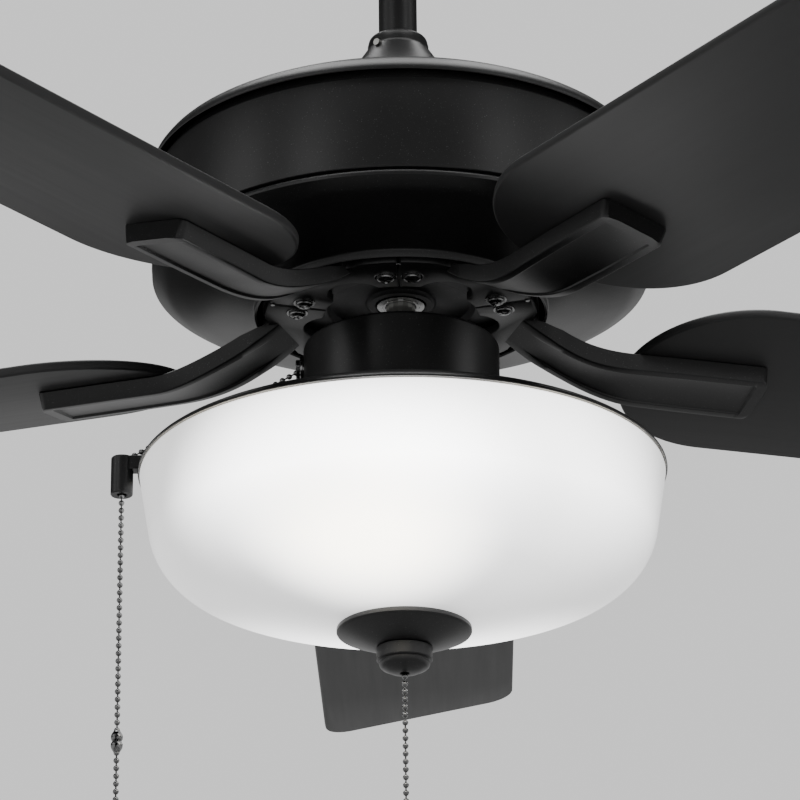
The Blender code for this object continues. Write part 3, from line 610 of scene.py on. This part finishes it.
fanRun = beadChain("fanChainRun", runRoute, "fan_run", "fan_chain_run")
fanDrop = beadChain("fanChainDrop", dropRoute, "fan_pull_chain", "fan_chain_drop")
fanLower = beadChain("fanChainLower", lowerRoute, "fan_pull_chain", "fan_chain_lower")
lightChain = beadChain("lightChain", lightRoute, "light_pull_chain", "light_chain")


def chainConnector(name, x, top, body, node):
    # a clip of folded sheet: two bells back to back, each with a side slot for its bead
    h = chainRoutes["connector"]
    bell = [(1.0, 0), (1.7, 0.1), (2.2, 0.9), (2.9, 2.1), (3.1, 3.2), (3.1, 4.4), (2.7, 5.2)]
    profile = [(r, top - z) for r, z in bell] + [(2.35, top - h / 2)]
    profile += [(r, top - h + z) for r, z in bell[::-1]]
    shape = bmesh.new()
    lathed(shape, skin(profile, 0.4), 32, (x, 0, 0))
    opened = []
    for face in shape.faces:
        middle = face.calc_center_median()
        if abs(middle.x - x) < 0.75 and middle.y < -0.5 and 1.5 < top - middle.z < h - 1.5:
            opened.append(face)
    bmesh.ops.delete(shape, geom=opened, context="FACES")
    lathed(shape, [(1.35, top - 4.6), (1.35, top - h + 4.6)], 14, (x, 0, 0), closed=False)
    return place(name, finishMesh(name, shape), "gunmetal_chain", body, (node,), 40)


connector = chainConnector("fanChainConnector", guideX, connectorTop, "fan_pull_chain",
                           "fan_chain_connector")


def chainFob(name, x, top, body, node):
    # a small turned pull with a ferrule, a waist and a rounded foot
    line = [(0.9, 0), (2.1, -0.1), (2.4, -0.5), (2.4, -1.7), (2.0, -2.2), (1.9, -3.0), (2.3, -3.6),
            (3.0, -5.6), (4.2, -9.0), (5.3, -12.6), (5.9, -16.2), (5.8, -19.4), (4.9, -22.0),
            (3.2, -23.5), (1.4, -23.95), (0, -24)]
    profile = [(r, top + z) for r, z in line]
    return turnedPiece(name, profile, "satin_black", body, (node,), 40, (x, 0, 0), closed=False)


fanFobTop = lowerTop - chainRoutes["lower"] - chainRoutes["gap"]
lightFobTop = chainRoutes["light"]["top"] - chainRoutes["light"]["length"] - chainRoutes["gap"]
fanFob = chainFob("fanChainFob", guideX, fanFobTop, "fan_pull_chain", "fan_chain_fob")
lightFob = chainFob("lightChainFob", 0, lightFobTop, "light_pull_chain", "light_chain_fob")


print("chains")


# hanging hardware
canopy = {"wall": 1.5, "line": [
    (66.0, -0.8), (66.0, -11.5),
    *curve([(66, -12), (64.4, -22.3), (58.8, -36), (48.2, -49), (34.4, -57.6), (26.5, -61.1)], 2.5),
    (24.6, -61.7), (23.0, -61.95), (22.0, -61.9),
]}
turnedPiece("canopyShell", skin(canopy["line"], canopy["wall"]), "satin_black", "ceiling", ("canopy",))

rod = {"r": 10.65, "bore": 8.35, "top": -18.2, "bottom": -205.0}
turnedPiece(
    "downrodTube",
    [(rod["bore"], rod["top"]), (rod["r"] - 0.3, rod["top"]), (rod["r"], rod["top"] - 0.3),
     (rod["r"], rod["bottom"] + 0.3), (rod["r"] - 0.3, rod["bottom"]), (rod["bore"], rod["bottom"])],
    "satin_black", "hung", ("downrod",), 72,
)

couplingCover = {"wall": 1.2, "sides": 96, "line": [
    (11.6, -157.0), (12.6, -157.0), *arcLine((13.2, -160.3), 3.2, 90, 18, 5),
    (16.9, -162.2), (17.0, -164.0),
    *curve([(17.2, -165), (20, -169.4), (26.6, -180), (35.2, -196), (41.6, -208), (42.7, -213.6)], 2.0),
]}
turnedPiece("couplingBell", skin(couplingCover["line"], couplingCover["wall"]), "satin_black", "hung",
            ("coupling_cover",), couplingCover["sides"])


def screwHead(shape, at, way, radius, height, slotTurn=0.0, washer=0.0):
    # a domed head with a cross recess, its washer under it, at a point and facing a way
    turn = facing(way) @ Matrix.Rotation(slotTurn, 3, "Z")
    base = 0.0
    if washer:
        base = 0.6
        ring = [(0, base), (washer - 0.15, base), (washer, base - 0.15), (washer, 0), (0, 0)]
        lathed(shape, ring, 32, at, turn, False)
    dome = [(radius * cos(radians(t)), base + height * (0.28 + 0.72 * sin(radians(t))))
            for t in (0, 18, 36, 54)]
    arm, half, deep = radius * 0.58, radius * 0.13, height * 0.62
    lathed(shape, [(0, base), (radius * 0.97, base), (radius, base + height * 0.12), *dome], 32, at, turn,
           False)
    edge, top = dome[-1]
    cross = [(half, half), (half, arm), (-half, arm), (-half, half), (-arm, half), (-arm, -half),
             (-half, -half), (-half, -arm), (half, -arm), (half, -half), (arm, -half), (arm, half)]
    count = 48
    ring = [(edge * cos(2 * pi * i / count), edge * sin(2 * pi * i / count)) for i in range(count)]
    rim = [shape.verts.new(turn @ Vector((x, y, top)) + Vector(at)) for x, y in ring]
    high = [shape.verts.new(turn @ Vector((x, y, top + height * 0.06)) + Vector(at)) for x, y in cross]
    low = [shape.verts.new(turn @ Vector((x * 0.75, y * 0.75, top - deep)) + Vector(at))
           for x, y in cross]
    joinRings(shape, [high, low])
    shape.faces.new(low)
    edges = []
    for loop in (rim, high):
        for a, b in zip(loop, loop[1:] + loop[:1]):
            found = shape.edges.get((a, b)) or shape.edges.new((a, b))
            edges.append(found)
    bmesh.ops.triangle_fill(shape, edges=edges, use_beauty=True)


canopyScrew = {"out": 66.3, "z": -15, "radius": 4.1, "height": 2.2, "shank": 2, "deep": 12}


def canopyScrews():
    for side, sign in (("left", -1), ("right", 1)):
        shape = bmesh.new()
        at, way = (sign * canopyScrew["out"], 0, canopyScrew["z"]), (sign, 0, 0)
        screwHead(shape, at, way, canopyScrew["radius"], canopyScrew["height"], 0.4 * sign)
        shank, deep = canopyScrew["shank"], canopyScrew["deep"]
        lathed(shape, [(0, 0), (shank, 0), (shank, -deep), (0, -deep)], 24, at, facing(way), False)
        name = "canopyScrew" + side.capitalize()
        place(name, finishMesh(name, shape), "bright_nickel", "ceiling", ("canopy_screw_" + side,), 30)


canopyScrews()
print("hanging hardware")


# motor housing
housingSides = 192
housingDome = {"wall": 1.5, "line": [
    (30, -214.0), (43, -214.2),
    *curve([(44, -214.4), (76.6, -219.6), (108.2, -226.7), (125, -232.6)], 4.0),
    *curve([(126.5, -233.2), (132, -236.6), (135.2, -240.6)], 1.2),
    (136.0, -242.4), (136.2, -243.6), (136.2, -244.6), (135.9, -245.0),
]}
turnedPiece("domeShell", skin(housingDome["line"], housingDome["wall"]), "satin_black", "hung",
            ("housing_dome",), housingSides)

housingBand = {"wall": 1.2, "line": [
    (130, -242.6), (130, -247.2), (130.3, -247.5), *arcLine((132.1, -248.7), 1.2, 90, 5, 5),
    (134.6, -298.6), (134.5, -299.6), (134.1, -300.0),
]}
turnedPiece("bandShell", skin(housingBand["line"], housingBand["wall"]), "satin_black", "hung",
            ("housing_band",), housingSides)

housingLower = {"wall": 1.3, "line": [
    (132.6, -296.2), (132.6, -300.2), (133.6, -300.4), *arcLine((131.4, -303.2), 2.9, 68, 0, 4),
    *curve([(134.2, -304.2), (131.2, -306.2), (126.0, -309.1), (118.6, -311.5)], 1.5),
    (116.0, -312.2), (115.0, -312.5), (81.6, -320.1), (80.2, -320.6),
    *arcLine((80.4, -321.8), 1.2, 95, 180, 5), (79.2, -324.6), (78.9, -325.3),
]}
turnedPiece("lowerShell", skin(housingLower["line"], housingLower["wall"]), "satin_black", "hung",
            ("housing_lower",), housingSides)

rotorCup = {"sides": 160, "line": [
    (118, -253.7), (118, -294), (75.5, -298), (75.5, -319.9), (74.7, -320.7), (41, -320.7), (40, -320.3),
    (38.4, -316.8), (37.6, -316.4), (20.4, -316.4), (19.2, -316.9), (18.4, -318.4), (17.6, -318.9),
    (14.2, -318.9), (13.5, -318.3), (13.5, -313.5), (16.6, -313.5), (16.6, -304.5), (20, -304.5),
    (20, -312.9), (72.5, -312.9), (72.5, -295), (115, -291), (115, -253.7),
]}
turnedPiece("rotorShell", rotorCup["line"], "cast_alloy", "rotor", ("rotor_shell",), rotorCup["sides"])

nut = {"flats": 20.6, "top": -314.1, "height": 5.5, "bore": 8.5, "face": 9.9, "sides": 48}


def shaftNut():
    # a hexagonal nut with turned-down corners and a washer face, on the threaded end of the shaft
    shape = bmesh.new()
    corner = nut["flats"] / sqrt(3)
    low = nut["top"] - nut["height"]
    rows = ((nut["bore"], nut["top"], False), (corner, nut["top"], True), (corner, low + 1.1, True),
            (nut["face"], low, False), (nut["bore"], low, False))
    rings = []
    for radius, z, hexed in rows:
        ring = []
        for i in range(nut["sides"]):
            t = 2 * pi * i / nut["sides"]
            flat = nut["flats"] / 2 / cos((t % (pi / 3)) - pi / 6)
            reach = min(radius, flat) if hexed else radius
            ring.append(shape.verts.new((reach * cos(t), reach * sin(t), z)))
        rings.append(ring)
    joinRings(shape, rings + rings[:1])
    lathed(shape, [(12.4, -318.2), (12.8, -318.6), (12.8, -319.2), (9.6, -319.4)], 48, closed=False)
    place("shaftNut", finishMesh("shaftNut", shape), "bright_nickel", "hung", ("shaft_nut",), 25)


shaftNut()
print("motor housing")


# blades and irons
blade = {"tip": 660.0, "root": 128.0, "width": 133.0, "thick": 5.5, "corner": 18.0, "edge": 1.5,
         "pitch": radians(11.1), "z": -343.3, "count": 5}
iron = {
    "start": 58.0, "neck": 64.0, "level": 138.0, "end": 208.0,      # along the iron, from the fan's axis
    "half": 20.5, "deep": 9.7, "foot": 5.2, "footTop": -321.0,
    "halves": [(58, 15.0), (66, 16.4), (78, 18.0), (97, 18.2), (128, 19.4), (160, 20.2), (209, 20.5)],
    "grown": 86.0, "twistFrom": 92.0, "bulgeFrom": 190.0, "bulge": 4.2, "corner": 3.4, "draft": 1.5,
    "panelSink": 1.15, "panelWall": 0.55,
}


def ironDrop(along):
    return 1 - (1 - ramp(along, iron["neck"], iron["level"])) ** 2


def ironHalf(along):
    corner = iron["corner"]
    if along > iron["end"] - corner:
        reach = min((along - iron["end"] + corner) / corner, 1)
        return iron["half"] - corner * (1 - sqrt(max(1 - reach ** 2, 0)))
    for (a, wa), (b, wb) in zip(iron["halves"], iron["halves"][1:]):
        if along <= b:
            return wa + (wb - wa) * max((along - a) / (b - a), 0)
    return iron["half"]


def ironPoint(along, across, up):
    # up runs 0 at the iron's underside to 1 at its top
    tongueTop = blade["z"] - 0.3
    grown = ramp(along, iron["neck"], iron["grown"])
    thick = iron["foot"] - 0.2 + (iron["deep"] - iron["foot"] + 0.2) * grown
    low = iron["footTop"] - iron["foot"] + 0.1
    bottom = low + (tongueTop - iron["deep"] - low) * ironDrop(along)
    twist = ramp(along, iron["twistFrom"], iron["level"])
    tilt = blade["pitch"] * twist ** 2 * (3 - 2 * twist)
    away = bottom + thick * up - tongueTop
    ending = ramp(along, iron["bulgeFrom"], iron["end"])
    bulge = iron["bulge"] * (across / iron["half"]) ** 2 * ending
    bulge += iron["draft"] * (1 - up) * ending
    return Vector((along - bulge, across * cos(tilt) + away * sin(tilt),
                   tongueTop + away * cos(tilt) - across * sin(tilt)))


def ironSection(along):
    # one cross-section: flat top, drafted sides, soft edges, and a shallow panel sunk in the underside
    half = ironHalf(along)
    grown = ramp(along, iron["neck"], iron["grown"])
    thick = iron["foot"] + (iron["deep"] - iron["foot"]) * grown
    soft = min(1.3, half * 0.2) / thick
    fade = ramp(along, 72, 86) * ramp(iron["end"] - along, 7.2, 7.9)
    sink = iron["panelSink"] / thick * fade
    panel = min(half - 7.0, 9.2 + 4.9 * ramp(along, 74, 134))
    wall = iron["panelWall"]
    low = half - iron["draft"] * grown
    right = [(half - 0.5, 1.0), (half, 1 - 0.5 / thick), (low, soft), (low - 0.28, soft * 0.45),
             (low - 0.75, soft * 0.12), (low - 1.35, 0), (panel + wall + 0.35, 0),
             (panel + wall, 0.02 * fade), (panel, sink * 0.9), (panel - 0.35, sink)]
    left = [(-across, up) for across, up in right[::-1]]
    return [ironPoint(along, across, up) for across, up in right + left]


def footOutline():
    # one foot and half the fork, from the notch round to the neck: (along, across)
    edge = radians(36) - asin(0.55 / 73.5)
    line = [(55, 0)] + [(40 + 15 * cos(radians(t)), 15 * sin(radians(t))) for t in range(10, 91, 10)]
    line += [(42 * cos(radians(t)), 42 * sin(radians(t))) for t in (23, 27, 31, 34)]
    line += [(42 * cos(edge), 42 * sin(edge)), (72.6 * cos(edge), 72.6 * sin(edge))]
    corner = edge - radians(0.7)
    line += [(73.5 * cos(corner - radians(t)), 73.5 * sin(corner - radians(t))) for t in (0, 4, 8, 12, 15)]
    line += [(72.6 * cos(radians(18.4)), 72.6 * sin(radians(18.4)))]
    line += [(69.4, 18.2), (70, 17.2), (73, 16.6), (76, 0)]
    return line


def makeIron(index, heading):
    # a drooping, twisting tongue and the pair of feet that it grows from
    shape = bmesh.new()
    stations = [iron["start"] + 2.0 * i for i in range(68)]
    stations += [194.0, 196.0, 198.0, 199.5, 200.6, 200.9, 201.3, 202.5, 204, 204.8, 205.6, 206.4, 207.1,
                 207.6, 207.9]
    rings = [[shape.verts.new(point) for point in ironSection(along)] for along in sorted(set(stations))]
    joinRings(shape, rings)
    shape.faces.new(rings[0])
    shape.faces.new(rings[-1][::-1])
    half = footOutline()
    outline = half[:-1] + [(x, -y) for x, y in half[-2:0:-1]]
    top, low = iron["footTop"], iron["footTop"] - iron["foot"]
    levels = ((0.5, top), (0, top - 0.5), (0, low + 0.8), (0.25, low + 0.25), (0.8, low))
    rows = insetRows(shape, outline, levels)
    shape.faces.new(rows[0])
    shape.faces.new(rows[-1][::-1])
    name = "ironCasting" + str(index)
    place(name, finishMesh(name, shape), "satin_black", "rotor", (f"blade_iron_{index}",), 26,
          Matrix.Rotation(heading, 4, "Z"))


def makeBlade(index, heading):
    # a flat board with a round root, softly squared tip and rounded edges
    shape = bmesh.new()
    half = blade["width"] / 2
    line = [(blade["root"] + half * (1 - cos(radians(t))), half * sin(radians(t))) for t in range(0, 91, 3)]
    line += [(x, half) for x in range(220, 640, 40)]
    tip, r = blade["tip"] - blade["corner"], blade["corner"]
    line += [(tip + r * sin(radians(t)), half - r * (1 - cos(radians(t)))) for t in range(0, 91, 9)]
    outline = line + [(x, -y) for x, y in line[:0:-1]]
    edge = blade["edge"]
    levels = [(edge * (1 - cos(radians(t))), edge - edge * sin(radians(t))) for t in (90, 60, 30, 0)]
    levels += [(inset, blade["thick"] - z) for inset, z in levels[::-1]]
    rows = insetRows(shape, outline, levels)
    shape.faces.new(rows[0][::-1])
    shape.faces.new(rows[-1])
    name = "bladeBoard" + str(index)
    place(name, finishMesh(name, shape), "blade_black", "rotor", (f"blade_{index}",), 40,
          Matrix.Rotation(heading, 4, "Z") @ Matrix.Translation((0, 0, blade["z"] * mm))
          @ Matrix.Rotation(-blade["pitch"], 4, "X"))


screws = {
    "foot": {"along": 56.5, "turn": radians(28.9), "radius": 4.6, "height": 2.6, "washer": 5.9},
    "blade": {"spots": ((150, 0), (190, -11), (190, 11)), "radius": 4.4, "height": 2.4, "washer": 6.2},
    "dowel": {"along": 71.5, "radius": 1.3},
}


def makeFasteners(index, heading):
    # two foot screws under the hub, a dowel between feet, and three blade screws with washers on top
    shape = bmesh.new()
    low = iron["footTop"] - iron["foot"]
    foot, held, dowel = screws["foot"], screws["blade"], screws["dowel"]
    for side in (-1, 1):
        spot = side * foot["turn"]
        at = (foot["along"] * cos(spot), foot["along"] * sin(spot), low)
        screwHead(shape, at, (0, 0, -1), foot["radius"], foot["height"], 0.5 + index * 0.9 + side,
                  foot["washer"])
    meet = pi / blade["count"]
    r = dowel["radius"]
    lathed(shape, [(0, low - 0.6), (r - 0.2, low - 0.6), (r, low - 0.3), (r, low + 5), (0, low + 5)], 16,
           (dowel["along"] * cos(meet), dowel["along"] * sin(meet), 0), None, False)
    pitch = Matrix.Rotation(-blade["pitch"], 3, "X")
    lift = Vector((0, 0, blade["z"]))
    for along, across in held["spots"]:
        at = pitch @ Vector((along, across, blade["thick"] + 0.05)) + lift
        screwHead(shape, at, pitch @ Vector((0, 0, 1)), held["radius"], held["height"],
                  1.1 * across + along, held["washer"])
    name = "ironScrews" + str(index)
    place(name, finishMesh(name, shape), "gunmetal_chain", "rotor", (), 30,
          Matrix.Rotation(heading, 4, "Z"))


for number in range(blade["count"]):
    bladeHeading = pi / 2 + 2 * pi * number / blade["count"]
    makeIron(number + 1, bladeHeading)
    makeBlade(number + 1, bladeHeading)
    makeFasteners(number + 1, bladeHeading)
print("blades and irons")


# switch housing and light
can = {
    "wall": 1.5, "sides": 144,
    "line": [(8.9, -344.0), (50.6, -344.0), *arcLine((50.6, -346.0), 2.0, 80, 0, 5), (52.6, -403.6),
             (52.3, -404.0)],
    "chainHole": {"start": (-46, 0, -355), "way": (-1, 0, 0), "length": 10, "radius": 5.5},
    "switchSlot": {"low": (-5.9, 46, -357.4), "high": (5.9, 57, -352.6)},
}
canShape = bmesh.new()
lathed(canShape, skin(can["line"], can["wall"]), can["sides"])
canMesh = bored(finishMesh("switchCan", canShape), **can["chainHole"])
canMesh = slotted(canMesh, **can["switchSlot"])
place("switchCan", canMesh, "satin_black", "hung", ("switch_housing",))

pan = {"wall": 1.2, "sides": 192, "line": [
    (5.6, -404.3), (57.6, -404.3), (58.4, -404.6),
    *curve([(60, -405), (90, -406.8), (120.2, -408.9), (131, -411), (137.2, -413.9), (139.6, -416)], 2.0),
    (140.1, -416.7), (140.2, -417.3), (139.9, -417.7),
]}
turnedPiece("fitterPan", skin(pan["line"], pan["wall"]), "satin_black", "hung", ("fitter_pan",),
            pan["sides"])

bowl = {"rim": 139.3, "top": -418.0, "bottom": -499.5, "corner": 35.0, "flat": 32.0,
        "lean": radians(9.3), "slope": radians(15.5), "wall": 4.0, "sides": 192}


def bowlLine():
    # a wall leaning in, a round corner, a shallow cone and a flat seat
    wallOut = Vector((-cos(bowl["lean"]), sin(bowl["lean"])))
    coneOut = Vector((-sin(bowl["slope"]), cos(bowl["slope"])))
    wallAt = Vector((bowl["rim"], bowl["top"])) + wallOut * bowl["corner"]
    coneAt = Vector((bowl["flat"], bowl["bottom"])) + coneOut * bowl["corner"]
    down = Vector((-sin(bowl["lean"]), -cos(bowl["lean"])))
    out = Vector((cos(bowl["slope"]), sin(bowl["slope"])))
    away = coneAt - wallAt
    reach = (away.x * out.y - away.y * out.x) / (down.x * out.y - down.y * out.x)
    centre = wallAt + down * reach
    start, end = atan2(-wallOut.y, -wallOut.x), atan2(-coneOut.y, -coneOut.x)
    line = [(bowl["rim"] - 1.4, bowl["top"]), (bowl["rim"] - 0.5, bowl["top"] - 0.4),
            (bowl["rim"] - 0.2, bowl["top"] - 1.3)]
    line += arcLine(centre, bowl["corner"], start * 180 / pi, end * 180 / pi, 24)
    line += [(bowl["flat"] + 12, bowl["bottom"] + 12 * tan(bowl["slope"])),
             (bowl["flat"] + 3, bowl["bottom"] + 0.9), (bowl["flat"] - 4, bowl["bottom"]),
             (6.4, bowl["bottom"])]
    return line


turnedPiece("glassBowl", skin(bowlLine(), bowl["wall"]), "opal_glass", "hung", ("glass_bowl",),
            bowl["sides"], sharp=60)

washer = {"sides": 96, "line": [(5.4, -499.8), (26.6, -499.8), (27, -500.2), (27, -501.3), (26.6, -501.7),
                                (5.4, -501.7)]}
turnedPiece("rubberWasher", washer["line"], "rubber", "hung", ("rubber_washer",), washer["sides"])

disc = {"sides": 128, "line": [
    (5.4, -502.0), (34.8, -502.0), (35.3, -502.4), (35.4, -502.9), (35.4, -504.4), (35.0, -505.0),
    (33.8, -505.6), (24, -509.5), (16.4, -512.5), (15.2, -512.85), (14.6, -512.9), (5.4, -512.9),
]}
turnedPiece("finialDisc", disc["line"], "satin_black", "hung", ("finial_disc",), disc["sides"])

knob = {"sides": 96, "line": [
    (5.4, -513.2), (14.2, -513.2), (14.6, -513.6), (14.6, -519.7), (14.2, -520.2), (13.3, -520.4),
    (13.1, -520.7), (13.1, -521.1), (13.4, -521.4), (13.4, -521.9), (12.9, -523.2), (11.9, -524.2),
    (8, -526.1), (4.6, -526.9), (2.9, -527.0), (2.4, -526.7), (2.4, -519.2), (5.4, -519.2),
]}
turnedPiece("finialKnob", knob["line"], "satin_black", "hung", ("finial_knob",), knob["sides"])

guide = {
    "radius": 5.95, "bore": 2.7, "top": -404.1, "low": chainRoutes["guide"]["bottom"], "sides": 56,
    "arm": [(4.2, -411.9, 4.4), (9.4, -411.9, 4.4), (10.6, -411.4, 4.4), (11.8, -409.7, 4.4),
            (19, -409.0, 4.3), (27, -408.2, 4.2), (32, -407.7, 4.1)],      # out, underside, half width
    "chainHole": {"start": (-136, 0, -399.37), "way": (-0.8752, 0, -0.4838), "length": 16, "radius": 2.3},
}


def chainGuide():
    # a short upright tube on a bracket arm, bored so that the chain bends into it
    shape = bmesh.new()
    r, bore, top, low = guide["radius"], guide["bore"], guide["top"], guide["low"]
    lathed(shape, [(bore, top - 4), (bore + 1.2, top - 0.8), (r - 1.4, top), (r - 0.5, top - 0.1),
                   (r, top - 0.7), (r, low + 0.6), (r - 0.4, low), (bore + 0.5, low), (bore, low + 0.5)],
           guide["sides"], (guideX, 0, 0))
    high = top - 0.1
    rings = []
    for out, bottom, half in guide["arm"]:
        corners = ((half - 0.6, high), (half, high - 0.6), (half, bottom + 0.6), (half - 0.6, bottom),
                   (-half + 0.6, bottom), (-half, bottom + 0.6), (-half, high - 0.6), (-half + 0.6, high))
        rings.append([shape.verts.new((guideX + out, y, z)) for y, z in corners])
    joinRings(shape, rings)
    shape.faces.new(rings[0])
    shape.faces.new(rings[-1][::-1])
    mesh = bored(finishMesh("chainGuide", shape), **guide["chainHole"])
    place("chainGuide", mesh, "satin_black", "hung", ("chain_guide",), 28)


chainGuide()

neck = {"at": (-52.5, 0, -355), "way": (-1, 0, 0), "ridges": 9, "ridgePitch": 0.42}


def chainNeck():
    # the threaded bush and its ring nut, where the fan's chain leaves the switch housing
    shape = bmesh.new()
    at, turn = neck["at"], facing(neck["way"])
    threads = []
    for i in range(neck["ridges"]):
        threads += [(5.4, 0.3 + i * neck["ridgePitch"]), (5.1, 0.5 + i * neck["ridgePitch"])]
    ringNut = [(7.2, 0.15), (7.3, 0.4), (7.3, 1.5), (6.9, 1.8), (5.45, 1.8), (5.45, 0.15)]
    lathed(shape, ringNut, 40, at, turn)
    lathed(shape, [(4.2, -0.5), (5.4, -0.5), *threads, (5.0, 4.1), (4.3, 4.1)], 32, at, turn)
    place("chainBush", finishMesh("chainBush", shape), "bright_nickel", "hung", (), 30)


chainNeck()
print("switch housing and light")

floorValues = {"size": 8.5, "z": -2.44, "dark": (0.7, 0.7, 0.7), "light": (0.74, 0.74, 0.74),
               "roughness": 0.8}
bpy.ops.mesh.primitive_plane_add(size=floorValues["size"], location=(0, 0, floorValues["z"]))
floor = bpy.context.object
floor.name = "floor"
floorFinish, floorTree, floorShader, floorWhere = startMaterial("paleFloor")
floorCloud = noiseNode(floorTree, floorWhere, 3, 3.0)
floorTone = mixColours(floorTree, floorCloud.outputs["Fac"], floorValues["dark"], floorValues["light"])
link(floorTree, floorTone, floorShader.inputs["Base Color"])
floorShader.inputs["Roughness"].default_value = floorValues["roughness"]
floor.data.materials.append(floorFinish)
print("floor")
